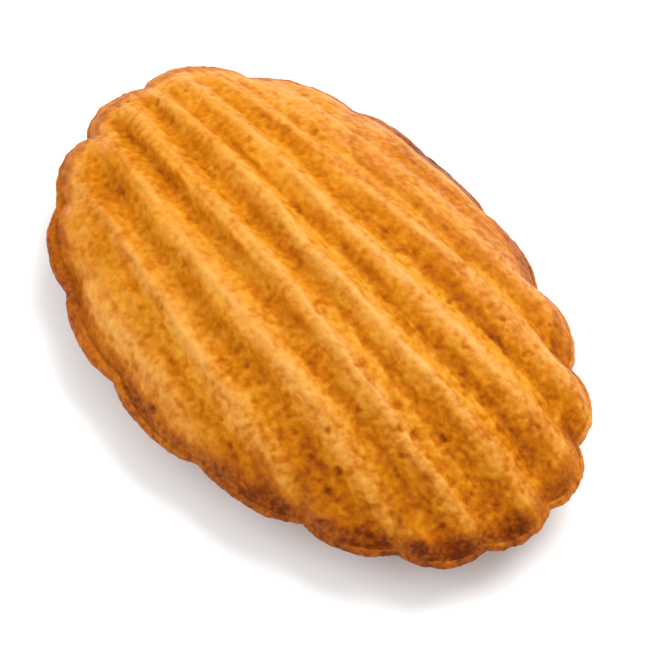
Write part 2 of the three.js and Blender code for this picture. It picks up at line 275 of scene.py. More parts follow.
# The crust's uneven colour: the name of each pattern, its size and how many finer ones it carries.
CRUST_PATTERNS = (
    ("cloud", 6.0, 3.0),
    ("mottle", 2.4, 2.0),
    ("blotch", 1.2, 2.0),
    ("speck", 0.9, 1.0),
    ("grain", 0.6, 1.0),
)
GRAIN_HEIGHT = 0.1
BLOTCHY_EDGE = (-0.15, 0.15, 0.9, 1.04)
# Mottle, specks and gaps show less where the rim is brown.
CALM_RIM = (0.25, 0.6, 1.0, 0.5)
# The crowns are paler: a painted highlight.
PAINTED_CROWN_HIGHLIGHT = (0.0, 0.12, 1.0, 0.0)
# The crowns took a polish from the tin, less so at the narrow end. The grooves and rim are dry.
NARROW_END_POLISH = (-26 * MM, -8 * MM, 0.5, 1.0)
GROOVE_POLISH = (0.0, 0.5, 0.34, 0.05)
RIM_POLISH = (0.3, 0.6, 1.0, 0.25)
# The crust's browning before its patterns add theirs, and how far along its colours a browning of
# 1 lies.
PLAIN_BROWNING = 0.285
FULLY_BROWNED = 0.85
CRUST_COLOURS = (
    (0.04, "#D2953B"), (0.255, "#C88420"), (0.44, "#B76B0B"), (0.64, "#9A4F0B"), (0.85, "#6C2D08"),
    (1.0, "#5A220A"),
)

# ---------------------------------------------------------------- floor, light and camera, in metres

FLOOR_HALF = 3.0
VIEW_AZIMUTH = 50.5
VIEW_ELEVATION = 58.0
VIEW_DISTANCE = 0.427
VIEW_WIDTH = 0.0780
VIEW_CENTRE = Vector((2.1, 0.2, 6.1)) * MM
SENSOR_WIDTH = 36
SKY_STRENGTH = 0.84


def linear(hex_colour, alpha=1.0):
    """A colour written as sRGB hex, in the linear values that Blender works with."""
    parts = [int(hex_colour[i : i + 2], 16) / 255 for i in (1, 3, 5)]
    return [c / 12.92 if c <= 0.04045 else ((c + 0.055) / 1.055) ** 2.4 for c in parts] + [alpha]


def node(tree, kind, inputs=None, **settings):
    """Adds a node. inputs gives, by socket name or number, a value or what feeds the socket.

    What feeds it is an output, or a node, for its first output. A few names in one key, such as
    RANGE, take as many values.
    """
    made = tree.nodes.new(kind)
    for name, value in settings.items():
        setattr(made, name, value)
    for keys, values in (inputs or {}).items():
        pairs = zip(keys, values) if isinstance(keys, tuple) else [(keys, values)]
        for key, value in pairs:
            source = value.outputs[0] if isinstance(value, bpy.types.Node) else value
            if isinstance(source, bpy.types.NodeSocket):
                tree.links.new(source, made.inputs[key])
            else:
                made.inputs[key].default_value = source
    return made


# ---------------------------------------------------------------- the cake's form


def curve_at(curve, x):
    return curve[0] + curve[1] * x + curve[2] * x * x


def blend(value, first, second):
    """Runs smoothly from 0 at the first edge to 1 at the second, which may be the lower one."""
    share = np.clip((value - first) / (second - first), 0, 1)
    return share * share * (3 - 2 * share)


def fade(value, first, last, what_is_left):
    """Runs smoothly from 1 at the first edge to what is left at the last."""
    return 1 - (1 - what_is_left) * blend(value, first, last)


def ripple(x, y, waves):
    """The mean of a few waves over the cake's plan, between -1 and 1."""
    return sum(np.sin(along * x + across * y + start) for along, across, start in waves) / len(waves)


def turn_between(angle, other):
    return (angle - other + 180) % 360 - 180


def scallop_reach(angle):
    """How far the scalloped outline stands outside the plain ellipse."""
    reach_there = np.zeros_like(angle)
    for k, (crown, reach, notch_after) in enumerate(SCALLOPS):
        turn = turn_between(angle, crown)
        for step, side in ((1, turn >= 0), (-1, turn < 0)):
            other_crown, other_reach, other_notch = SCALLOPS[(k + step) % len(SCALLOPS)]
            share = np.abs(turn) / (abs(turn_between(other_crown, crown)) / 2)
            notch_depth = notch_after if step > 0 else other_notch
            notch_reach = (reach + other_reach) / 2 - notch_depth
            here = side & (share <= 1)
            bow = reach + (notch_reach - reach) * share**SCALLOP_ROUNDNESS
            reach_there = np.where(here, bow, reach_there)
    return reach_there


def scallop_crown_share(angle):
    """1 on the crown of a scallop and 0 in the notches beside it."""
    crowns = np.array([crown for crown, _, _ in SCALLOPS])
    turns = np.abs(turn_between(angle[:, None], crowns[None, :])).min(1)
    return 1 - blend(turns, *SCALLOP_CROWN_REACH)


def wide_lip_share(angle):
    return 1 - blend(np.abs(turn_between(angle, WIDE_LIP_ANGLE)), 0, WIDE_LIP_REACH)


def lip_width(angle):
    return LIP_WIDTH + WIDE_LIP_EXTRA * wide_lip_share(angle)


def plan_place(share, angle, outwards):
    """The place in plan at a share of the way out, moved outwards by a distance."""
    turn = np.radians(angle)
    nx, ny = np.cos(turn) / HALF_LENGTH, np.sin(turn) / HALF_WIDTH
    size = np.hypot(nx, ny)
    x = share * HALF_LENGTH * np.cos(turn) + outwards * nx / size
    y = share * HALF_WIDTH * np.sin(turn) + outwards * ny / size
    return x, y


def rib_spacing(x, y):
    on_open_side = y > curve_at(FAN_MIDLINE, x)
    return np.where(on_open_side, curve_at(OPEN_SPACING, x), curve_at(CLOSE_SPACING, x))


def rib_number(x, y):
    """Which rib of the fan a place lies on: whole on a crown, and halfway between in a groove."""
    rib = (y - curve_at(FAN_MIDLINE, x)) / rib_spacing(x, y)
    number = rib - CLOSE_SHIFT * blend(rib, 0, -1)
    at_broad_end = blend(x, *RIB_TURN_REACH)
    for turned_rib, pull, at_narrow, at_broad in RIB_TURNS:
        turn = at_narrow + (at_broad - at_narrow) * at_broad_end
        number = number - turn * blend(np.abs(rib - turned_rib), pull, 0)
    return number


def swaying_rib_number(x, y):
    size, along, rib_to_rib = RIB_SWAY
    rib = rib_number(x, y)
    return rib + size * np.sin(along * x + rib_to_rib * np.round(rib))


def rib_depth(x, y, share):
    """How deep the grooves are. Ribs stop short of the rim at the narrow end."""
    spacing = np.minimum(rib_spacing(x, y), WIDEST_DEEP_RIB)
    plain_band = 1 - blend(x, *PLAIN_BAND_REACH) * blend(share, *PLAIN_BAND)
    unevenness, along, across, start = RIB_UNEVENNESS
    uneven = 1 + unevenness * np.sin(along * x + across * y + start)
    rib = rib_number(x, y)
    held = BROAD_END_HOLD * blend(x, *BROAD_END_REACH)
    flattened = fade(rib - held, *OPEN_SIDE_FADE) * fade(rib, *CLOSE_SIDE_FADE)
    on_close_side = blend(rib, *CLOSE_SIDE_RIBS) * blend(x, *CLOSE_SIDE_REACH)
    cut = flattened * (1 + CLOSE_SIDE_EXTRA * on_close_side) * fade(x, *NARROW_END_FADE)
    return RIB_DEPTH_SHARE * spacing * plain_band * fade(share, *RIM_FADE) * uneven * cut


def bead_place(rib):
    aside = blend(rib, *BEAD_MOVES_ASIDE) - blend(rib, *BEAD_MOVES_BACK)
    return BEAD_PLACE + (BEAD_PLACE_ASIDE - BEAD_PLACE) * aside


def bead_height(x, y, share):
    lost, along, rib_to_rib = BEAD_COMES_AND_GOES
    rib = rib_number(x, y)
    kept = 1 - lost * (1 + np.sin(along * x + rib_to_rib * np.floor(rib)))
    kept = kept * (1 - blend(rib, *BARE_GROOVE_FROM) + blend(rib, *BARE_GROOVE_TO))
    narrowed = (rib_spacing(x, y) / OPEN_SPACING[0]) ** 2
    return BEAD_HEIGHT * kept * narrowed * blend(x, *BEAD_END) * blend(share, *BEAD_RIM_END)


def shell_places(share, angle):
    """The smooth dome over the scalloped outline, before its grooves are pressed in."""
    outwards = (scallop_reach(angle) - lip_width(angle)) * share**SCALLOP_FADE
    x, y = plan_place(share, angle, outwards)
    z = RIM_HEIGHT + CREASE_RISE + SHELL_HEIGHT * np.maximum(1 - share**2, 0) ** SHELL_ROUNDNESS
    return x, y, z


def lip_places(along, angle):
    """The rolled lip, from the crease at the shell's foot (0) out to the widest line (1)."""
    quarter = math.radians(90 * along)
    inwards = lip_width(angle) * (1 - math.sin(quarter))
    x, y = plan_place(1, angle, scallop_reach(angle) - inwards)
    bulge = LIP_BULGE * wide_lip_share(angle) * math.sin(2 * quarter)
    z = RIM_HEIGHT + CREASE_RISE * math.cos(quarter) + bulge
    return x, y, z


def underside_places(share, angle):
    """The edge turning in under the rim, and the hump swelling down to the flat spot."""
    x, y = plan_place(share, angle, scallop_reach(angle) * share**SCALLOP_FADE)
    turned = EDGE_TURN * np.sqrt(blend(share, 1, EDGE_TURN_END))
    hump = (RIM_HEIGHT - EDGE_TURN) * blend(share, HUMP_START, FLAT_SPOT)
    lumpy = blend(share, FLAT_SPOT, LUMPY_FROM) * blend(share, 1, LUMPY_TO)
    turns = 2 * math.pi / LUMP_SPACING
    z = RIM_HEIGHT - turned - hump + UNDERSIDE_LUMP * ripple(turns * x, turns * y, LUMP_WAVES) * lumpy
    return x, y, z


class Skin:
    """Points and faces of the cake's skin, with what each point needs to know of its place."""

    def __init__(self):
        self.places, self.shares, self.angles, self.faces = [], [], [], []
        self.count = 0

    def add(self, places, share, angle):
        x, y, z = np.broadcast_arrays(*places)
        self.places.append(np.column_stack([x.ravel(), y.ravel(), z.ravel()]))
        self.shares.append(np.broadcast_to(share, x.shape).ravel())
        self.angles.append(np.broadcast_to(angle, x.shape).ravel())
        first, self.count = self.count, self.count + x.size
        return np.arange(first, self.count).reshape(x.shape)

    def add_below(self, places, share, angle):
        """Adds points of the underside. Its own share of the way out is counted on from the lip's."""
        return self.add(places, 1 + LIP_SHARE + (1 - share), angle)

    def quads(self, a, b, c, d):
        self.faces += np.column_stack([a.ravel(), b.ravel(), c.ravel(), d.ravel()]).tolist()

    def join_rings(self, upper, lower):
        self.quads(upper, lower, np.roll(lower, -1), np.roll(upper, -1))

    def join_to_half_ring(self, upper, lower):
        a, b, c = upper[0::2], upper[1::2], np.roll(upper, -2)[0::2]
        d, e = lower, np.roll(lower, -1)
        for three in ((a, d, b), (d, e, b), (b, e, c)):
            self.faces += np.column_stack(three).tolist()


def around(grid):
    """The values round the edge of a grid, in order."""
    return np.concatenate([grid[:-1, -1], grid[-1, :0:-1], grid[:0:-1, 0], grid[0, :-1]])


def add_shell(skin):
    """A square grid stretched onto a disc, so that its lines keep along the ribs."""
    u, v = np.meshgrid(np.linspace(-1, 1, STEPS_ALONG + 1), np.linspace(-1, 1, STEPS_ACROSS + 1))
    x, y = u * np.sqrt(1 - v**2 / 2), v * np.sqrt(1 - u**2 / 2)
    share, angle = np.minimum(np.hypot(x, y), 1), np.degrees(np.arctan2(y, x))
    grid = skin.add(shell_places(share, angle), share, angle)
    skin.quads(grid[:-1, :-1], grid[:-1, 1:], grid[1:, 1:], grid[1:, :-1])
    return around(grid), around(angle)


def add_lip(skin, ring, angles):
    """Ring by ring from the crease at the shell's foot over the lip."""
    for k in range(1, LIP_RINGS + 1):
        below = skin.add(lip_places(k / LIP_RINGS, angles), 1 + LIP_SHARE * k / LIP_RINGS, angles)
        skin.join_rings(ring, below)
        ring = below
    return ring


def add_underside(skin, ring, angles):
    """Ring by ring from the lip down to the flat spot, with half as many points at two of them."""
    shares = list(1 - (1 - EDGE_TURN_END) * (np.arange(1, EDGE_RINGS + 1) / EDGE_RINGS) ** 2)
    shares += list(np.linspace(EDGE_TURN_END, FLAT_SPOT, UNDERSIDE_RINGS)[1:])
    halve_at = {EDGE_RINGS, EDGE_RINGS + UNDERSIDE_RINGS // 2}
    for k, share in enumerate(shares):
        if k in halve_at:
            angles = angles[::2]
        below = skin.add_below(underside_places(share, angles), share, angles)
        if k in halve_at:
            skin.join_to_half_ring(ring, below)
        else:
            skin.join_rings(ring, below)
        ring = below
    middle = int(skin.add_below((np.zeros(1), np.zeros(1), np.zeros(1)), 0, 0)[0])
    skin.faces += [[middle, int(b), int(a)] for a, b in zip(ring, np.roll(ring, -1))]


# ---------------------------------------------------------------- what each place keeps


def shell_parts_browned_and_painted(share, x, y):
    """The browning, and the painted light and shade, of the parts of the shell that differ from the rest.
    """
    rib = rib_number(x, y)
    measured = {"along": x, "across": y, "out": share, "rib": rib, "past crown": rib - np.floor(rib)}
    total = np.zeros_like(share)
    for browning, edges in BROWNED_AND_PAINTED_LIGHT_PARTS:
        part = browning
        for measure, start, full in edges:
            part = part * blend(measured[measure], start, full)
        total = total + part
    return total


def patch_browning(share, angle):
    """The browning of the places round the rim that differ from the rest."""
    total = np.zeros_like(share)
    for middle, reach, start, full, browning in RIM_PATCHES:
        beside = 1 - blend(np.abs(turn_between(angle, middle)), 0, reach)
        total = total + browning * beside * blend(share, start, full)
    return total


def browning_and_painted_light(share, angle, x, y):
    """How much browner the oven left each place: the rim most, and the scallops that hung lowest.

    Some parts of the shell carry painted light and shade in it as well.
    """
    browned_and_shaded_side = blend(np.cos(np.radians(angle - BROWNED_AND_SHADED_SIDE_ANGLE)), *BROWNED_AND_SHADED_SIDE_REACH)
    wide_lip = wide_lip_share(angle)
    ragged = 0.5 + 0.5 * ripple(x, y, RAGGED_WAVES)
    sooner = BAND_SOONER_ON_CROWNS * scallop_crown_share(angle) * browned_and_shaded_side * ragged
    band = BAND_START - sooner - BAND_SOONER_ON_OTHER_SIDE * (1 - browned_and_shaded_side)
    rim = blend(share, band + BAND_COMES_IN[0], band + BAND_COMES_IN[1])
    rim = rim * (BAND_BROWNING + SHADED_SIDE_EXTRA_BROWNING_AND_SHADE * browned_and_shaded_side)
    on_lip = blend(share, 1, 1 + LIP_SHARE / 2) * wide_lip
    in_crease = blend(share, *LIP_CREASE_REACH) * wide_lip * (1 - on_lip)
    under_lip = UNDER_LIP_DARKENING * blend(share, 1, 1 + LIP_SHARE) * browned_and_shaded_side
    underside = UNDERSIDE_BROWNING * blend(share, 1 + LIP_SHARE, UNDERSIDE_FULL)
    rim = rim * (1 + LIP_BROWNING * on_lip) + LIP_CREASE_PAINTED_SHADE * in_crease
    rim = rim + patch_browning(share, angle) * (1 - on_lip)
    return np.clip(rim + shell_parts_browned_and_painted(share, x, y) + under_lip + underside, PALEST, 1)


def crumb_share(share, x, y):
    """How coarse the crumb stands. It is roughest at the broad end, and the flat spot is smooth."""
    along, across = CRUMB_ROUGHENS_TO
    rougher = blend(along * x + across * y, *CRUMB_ROUGHENS_REACH)
    return np.where(share > SMOOTH_FLAT_SPOT, 0, CRUMB_ROUGHNESS + CRUMB_ROUGHENS_BY * rougher)


def broken_bubble_share(x, y):
    """1 on the floor of a broken bubble, and 0 from its edge outwards."""
    size, along, across = BUBBLE_WOBBLE
    wobble = 1 + size * np.sin(along * x + across * y)
    share = np.zeros_like(x)
    for bubble_x, bubble_y, radius in BROKEN_BUBBLES:
        away = np.hypot(x - bubble_x, y - bubble_y) / wobble
        share = np.maximum(share, blend(away, radius, BUBBLE_FLOOR * radius))
    return share


def cake_blank():
    """The cake before its ribs and crumb: the skin as one closed mesh, in metres."""
    skin = Skin()
    ring, angles = add_shell(skin)
    add_underside(skin, add_lip(skin, ring, angles), angles)
    places = np.concatenate(skin.places)
    share, angle = np.concatenate(skin.shares), np.concatenate(skin.angles)
    x, y = places[:, 0].copy(), places[:, 1].copy()
    middle = (places.max(0) + places.min(0)) / 2
    places -= [middle[0], middle[1], 0]
    mesh = bpy.data.meshes.new("madeleine_skin")
    mesh.from_pydata(places * MM, [], skin.faces)
    on_shell = share <= 1
    for name, values in (
        ("rib", swaying_rib_number(x, y)),
        ("groove_depth", np.where(on_shell, rib_depth(x, y, share), 0) * MM),
        ("bead_place", bead_place(rib_number(x, y))),
        ("bead_height", np.where(on_shell, bead_height(x, y, share), 0) * MM),
        ("browning_and_painted_light", browning_and_painted_light(share, angle, x, y)),
        ("crumb", crumb_share(share, x, y)),
        ("broken_bubble", np.where(on_shell, broken_bubble_share(x, y), 0)),
    ):
        kept = mesh.attributes.new(name, "FLOAT", "POINT")
        kept.data.foreach_set("value", np.asarray(values, np.float32))
    mesh.polygons.foreach_set("use_smooth", np.ones(len(mesh.polygons), bool))
    mesh.update()
    blank = bpy.data.objects.new("madeleine_crust", mesh)
    bpy.context.scene.collection.objects.link(blank)
    return blank


# ---------------------------------------------------------------- ribs and crumb


def wandering_rib(tree, given, place, rib):
    """The rib number where the ribs wander a little from the rule, as the batter took the mould."""
    for size, share in WANDERS:
        wave = node(tree, "ShaderNodeTexNoise", {"Vector": place, "Scale": 1 / (size * MM), "Detail": 1.0})
        wave = node(tree, "ShaderNodeMath", {0: wave, 1: 2 * share, 2: -share}, operation="MULTIPLY_ADD")
        rib = node(
            tree, "ShaderNodeMath", {0: wave, 1: given["Rib wander"], 2: rib}, operation="MULTIPLY_ADD"
        )
    return rib


def groove_share(tree, given, rib):
    """1 on the line halfway between two ribs, falling to 0 on the crowns."""
    nearest = node(tree, "ShaderNodeMath", {0: rib}, operation="ROUND")
    aside = node(tree, "ShaderNodeMath", {0: rib, 1: nearest}, operation="SUBTRACT")
    off_crown = node(tree, "ShaderNodeMath", {0: aside}, operation="ABSOLUTE")
    to_crown = node(tree, "ShaderNodeMath", {0: off_crown, 1: -2.0, 2: 1.0}, operation="MULTIPLY_ADD")
    # A rib leans: on its +Y side it falls away sooner.
    leant = node(tree, "ShaderNodeMath", {0: aside, 1: 0.0}, operation="MAXIMUM")
    leant = node(tree, "ShaderNodeMath", {0: leant, 1: given["Rib lean"]}, operation="MULTIPLY")
    leant = node(tree, "ShaderNodeMath", {0: leant, 1: -2.0, 2: 1.0}, operation="MULTIPLY_ADD")
    to_crown = node(tree, "ShaderNodeMath", {0: to_crown, 1: leant}, operation="MULTIPLY")
    # The line in the middle of the groove is rounded off, and the crown between two grooves is full.
    softness = given["Groove softness"]
    square = node(tree, "ShaderNodeMath", {0: to_crown, 1: to_crown}, operation="MULTIPLY")
    square = node(tree, "ShaderNodeMath", {0: softness, 1: softness, 2: square}, operation="MULTIPLY_ADD")
    softened = node(tree, "ShaderNodeMath", {0: square}, operation="SQRT")
    left = node(tree, "ShaderNodeMath", {0: 1.0, 1: softened}, operation="SUBTRACT", use_clamp=True)
    deepest = node(tree, "ShaderNodeMath", {0: 1.0, 1: softness}, operation="SUBTRACT")
    left = node(tree, "ShaderNodeMath", {0: left, 1: deepest}, operation="DIVIDE")
    return node(tree, "ShaderNodeMath", {0: left, 1: given["Rib fullness"]}, operation="POWER")


def bead_share(tree, given, rib, bead_lies_at):
    """1 along the top of the thin bead in a groove, and 0 beside it."""
    past_crown = node(tree, "ShaderNodeMath", {0: rib}, operation="FRACT")
    off_bead = node(tree, "ShaderNodeMath", {0: past_crown, 1: bead_lies_at}, operation="SUBTRACT")
    off_bead = node(tree, "ShaderNodeMath", {0: off_bead}, operation="ABSOLUTE")
    return node(
        tree,
        "ShaderNodeMapRange",
        {"Value": off_bead, RANGE: (0.0, given["Bead half width"], 1.0, 0.0)},
        interpolation_type="SMOOTHSTEP",
    )


def swelling(tree, given, place, name, detail):
    """Uneven swelling of the size and height that the tree is given under this name."""
    scale = node(tree, "ShaderNodeMath", {0: 1.0, 1: given[name + " size"]}, operation="DIVIDE")
    noise = node(tree, "ShaderNodeTexNoise", {"Vector": place, "Scale": scale, "Detail": detail})
    wave = node(tree, "ShaderNodeMath", {0: noise, 1: 2.0, 2: -1.0}, operation="MULTIPLY_ADD")
    return node(tree, "ShaderNodeMath", {0: wave, 1: given[name + " height"]}, operation="MULTIPLY")


def pores(tree, given, place):
    """Small round dimples, one in each cell of a Voronoi pattern."""
    scale = node(tree, "ShaderNodeMath", {0: 1.0, 1: given["Pore size"]}, operation="DIVIDE")
    cells = node(
        tree, "ShaderNodeTexVoronoi", {"Vector": place, "Scale": scale, "Randomness": 1.0}, feature="F1"
    )
    dimple = node(
        tree,
        "ShaderNodeMapRange",
        {"Value": cells, RANGE: PORE_DIMPLE},
        interpolation_type="SMOOTHSTEP",
    )
    return node(tree, "ShaderNodeMath", {0: dimple, 1: given["Pore depth"]}, operation="MULTIPLY")


def crumb_gaps(tree, place, grain_size):
    """1 in the ragged hollows between the grains of the crumb, and 0 on them and where it is closed."""
    scale = node(tree, "ShaderNodeMath", {0: 1.0, 1: grain_size}, operation="DIVIDE")
    grains = node(
        tree,
        "ShaderNodeTexNoise",
        {"Vector": place, "Scale": scale, "Detail": 1.5, "Roughness": GRAIN_RAGGEDNESS},
    )
    hollow = node(
        tree,
        "ShaderNodeMapRange",
        {"Value": grains, RANGE: GAPS_BETWEEN_GRAINS},
        interpolation_type="SMOOTHSTEP",
    )
    patch_scale = 1 / (OPEN_PATCH_SIZE * MM)
    patch = node(tree, "ShaderNodeTexNoise", {"Vector": place, "Scale": patch_scale, "Detail": 2.0})
    opened = node(tree, "ShaderNodeMapRange", {"Value": patch, RANGE: OPEN_PATCHES})
    return node(tree, "ShaderNodeMath", {0: hollow, 1: opened}, operation="MULTIPLY")


def wrinkles(tree, given, place, rib):
    """Fine uneven ridges and furrows, between 1 and -1, that run along with the ribs."""
    along = node(tree, "ShaderNodeSeparateXYZ", {0: place}).outputs["X"]
    along = node(tree, "ShaderNodeMath", {0: along, 1: given["Wrinkles to a metre"]}, operation="MULTIPLY")
    over = node(tree, "ShaderNodeMath", {0: rib, 1: given["Wrinkles to a rib"]}, operation="MULTIPLY")
    beside = node(tree, "ShaderNodeCombineXYZ", {0: along, 1: over})
    noise = node(tree, "ShaderNodeTexNoise", {"Vector": beside, "Scale": 1.0, "Detail": 1.0})
    return node(tree, "ShaderNodeMath", {0: noise, 1: 2.0, 2: -1.0}, operation="MULTIPLY_ADD")


def pits(tree, given, place, ribbed, crumb):
    """Bubbles that broke, of many sizes and none quite round: 1 in the middle of one, and its size."""
    density = node(tree, "ShaderNodeMath", {0: crumb, 1: given["Pit density"]}, operation="MULTIPLY")
    scattered = node(
        tree,
        "GeometryNodeDistributePointsOnFaces",
        {"Mesh": ribbed, "Density": density, "Seed": given["Seed"]},
    )
    size = node(
        tree,
        "FunctionNodeRandomValue",
        {2: given["Smallest pit"], 3: given["Largest pit"], "Seed": given["Seed"]},
        data_type="FLOAT",
    )
    scattered = node(
        tree,
        "GeometryNodeStoreNamedAttribute",
        {"Geometry": scattered, "Name": "pit_size", "Value": size.outputs[1]},
        data_type="FLOAT",
        domain="POINT",
    )
    wobble = node(tree, "ShaderNodeTexNoise", {"Vector": place, "Scale": PIT_WOBBLES / MM}).outputs["Color"]
    wobble = node(tree, "ShaderNodeVectorMath", {0: wobble, 1: (0.5, 0.5, 0.5)}, operation="SUBTRACT")
    wobbled = node(
        tree,
        "ShaderNodeVectorMath",
        {0: wobble, 1: (PIT_WOBBLE * MM,) * 3, 2: place},
        operation="MULTIPLY_ADD",
    )
    nearest = node(
        tree,
        "GeometryNodeSampleNearest",
        {"Geometry": scattered, "Sample Position": wobbled},
        domain="POINT",
    )
    stored_size = node(tree, "GeometryNodeInputNamedAttribute", {"Name": "pit_size"}, data_type="FLOAT")
    pit_place, pit_size = (
        node(
            tree,
            "GeometryNodeSampleIndex",
            {"Geometry": scattered, "Value": value, "Index": nearest},
            data_type=kind,
        )
        for value, kind in ((place, "FLOAT_VECTOR"), (stored_size, "FLOAT"))
    )
    away = node(tree, "ShaderNodeVectorMath", {0: pit_place, 1: wobbled}, operation="DISTANCE")
    pit = node(
        tree,
        "ShaderNodeMapRange",
        {"Value": away.outputs["Value"], RANGE: (0.0, pit_size, 1.0, 0.0)},
        interpolation_type="SMOOTHSTEP",
    )
    return pit, pit_size


SOCKET_KINDS = {
    float: "NodeSocketFloat",
    int: "NodeSocketInt",
    bpy.types.Material: "NodeSocketMaterial",
}


def crust_tree(inputs):
    """Presses the grooves into the blank and raises the crumb, pores and pits of a baked crust."""
    tree = bpy.data.node_groups.new("crust_relief", "GeometryNodeTree")
    face = tree.interface
    face.new_socket("Geometry", in_out="INPUT", socket_type="NodeSocketGeometry")
    for name, value in inputs.items():
        face.new_socket(name, in_out="INPUT", socket_type=SOCKET_KINDS[type(value)])
    face.new_socket("Geometry", in_out="OUTPUT", socket_type="NodeSocketGeometry")
    given = node(tree, "NodeGroupInput").outputs
    kept = {
        name: node(tree, "GeometryNodeInputNamedAttribute", {"Name": name}, data_type="FLOAT")
        for name in ("rib", "groove_depth", "bead_place", "bead_height", "crumb", "broken_bubble")
    }
    crumb = kept["crumb"]
    place = node(tree, "GeometryNodeInputPosition")
    normal = node(tree, "GeometryNodeInputNormal")

    # The grooves are pressed in, and a bead is left standing in them.
    rib = wandering_rib(tree, given, place, kept["rib"])
    groove = groove_share(tree, given, rib)
    bead = bead_share(tree, given, rib, kept["bead_place"])
    sink = node(tree, "ShaderNodeMath", {0: groove, 1: kept["groove_depth"]}, operation="MULTIPLY")
    sink = node(tree, "ShaderNodeMath", {0: sink, 1: -1.0}, operation="MULTIPLY")
    sink = node(
        tree, "ShaderNodeMath", {0: bead, 1: kept["bead_height"], 2: sink}, operation="MULTIPLY_ADD"
    )
    inwards = node(tree, "ShaderNodeVectorMath", {0: normal, "Scale": sink}, operation="SCALE")
    ribbed = node(tree, "GeometryNodeSetPosition", {"Geometry": given["Geometry"], "Offset": inwards})

    # The crumb is laid on the ribbed skin: grains with pores in them and gaps between them.
    gaps = crumb_gaps(tree, place, given["Grain size"])
    gaps = node(tree, "ShaderNodeMath", {0: gaps, 1: given["Gap depth"]}, operation="MULTIPLY")
    raised = swelling(tree, given, place, "Crumb", detail=1.5)
    for operation, height in (("ADD", pores(tree, given, place)), ("SUBTRACT", gaps), ("MULTIPLY", crumb)):
        raised = node(tree, "ShaderNodeMath", {0: raised, 1: height}, operation=operation)
    deepest = node(
        tree, "ShaderNodeMath", {0: given["Crumb height"], 1: given["Pore depth"]}, operation="ADD"
    )
    low = node(tree, "ShaderNodeMath", {0: raised, 1: deepest}, operation="DIVIDE")
    low = node(tree, "ShaderNodeMath", {0: low, 1: -1.0}, operation="MULTIPLY")

    # Pits and broken bubbles go in.
    pit, pit_size = pits(tree, given, place, ribbed, crumb)
    sunk = node(tree, "ShaderNodeMath", {0: pit, 1: pit_size}, operation="MULTIPLY")
    sunk = node(tree, "ShaderNodeMath", {0: sunk, 1: given["Pit depth"]}, operation="MULTIPLY")
    sunk = node(
        tree,
        "ShaderNodeMath",
        {0: kept["broken_bubble"], 1: given["Bubble depth"], 2: sunk},
        operation="MULTIPLY_ADD",
    )
    pit = node(tree, "ShaderNodeMath", {0: pit, 1: kept["broken_bubble"]}, operation="MAXIMUM")

    # Lumps and wrinkles come on top, and the flat spot stays flat.
    wrinkle = wrinkles(tree, given, place, rib)
    wrinkled = node(tree, "ShaderNodeMath", {0: wrinkle, 1: given["Wrinkle height"]}, operation="MULTIPLY")
    off_flat_spot = node(tree, "ShaderNodeMath", {0: crumb, 1: 0.0}, operation="GREATER_THAN")
    for operation, height in (
        ("ADD", swelling(tree, given, place, "Lump", detail=2.0)),
        ("SUBTRACT", sunk),
        ("ADD", wrinkled),
        ("MULTIPLY", off_flat_spot),
    ):
        raised = node(tree, "ShaderNodeMath", {0: raised, 1: height}, operation=operation)
    outwards = node(tree, "ShaderNodeVectorMath", {0: normal, "Scale": raised}, operation="SCALE")

    # Each place keeps what the crust's colours follow.
    deep = node(tree, "ShaderNodeMapRange", {"Value": kept["groove_depth"], RANGE: DEEP_GROOVES})
    deep_groove = node(tree, "ShaderNodeMath", {0: groove, 1: deep}, operation="MULTIPLY")
    crusted = ribbed
    for name, value, kind in (
        ("crumb_place", place, "FLOAT_VECTOR"),
        ("groove", deep_groove, "FLOAT"),
        ("low_crumb", low, "FLOAT"),
        ("pit", pit, "FLOAT"),
        ("wrinkle", wrinkle, "FLOAT"),
    ):
        crusted = node(
            tree,
            "GeometryNodeStoreNamedAttribute",
            {"Geometry": crusted, "Name": name, "Value": value},
            data_type=kind,
            domain="POINT",
        )
    crusted = node(tree, "GeometryNodeSetPosition", {"Geometry": crusted, "Offset": outwards})
    crusted = node(tree, "GeometryNodeRealizeInstances", {"Geometry": crusted})
    crusted = node(tree, "GeometryNodeSetMaterial", {"Geometry": crusted, "Material": given["Crust"]})
    node(tree, "NodeGroupOutput", {"Geometry": crusted})
    return tree


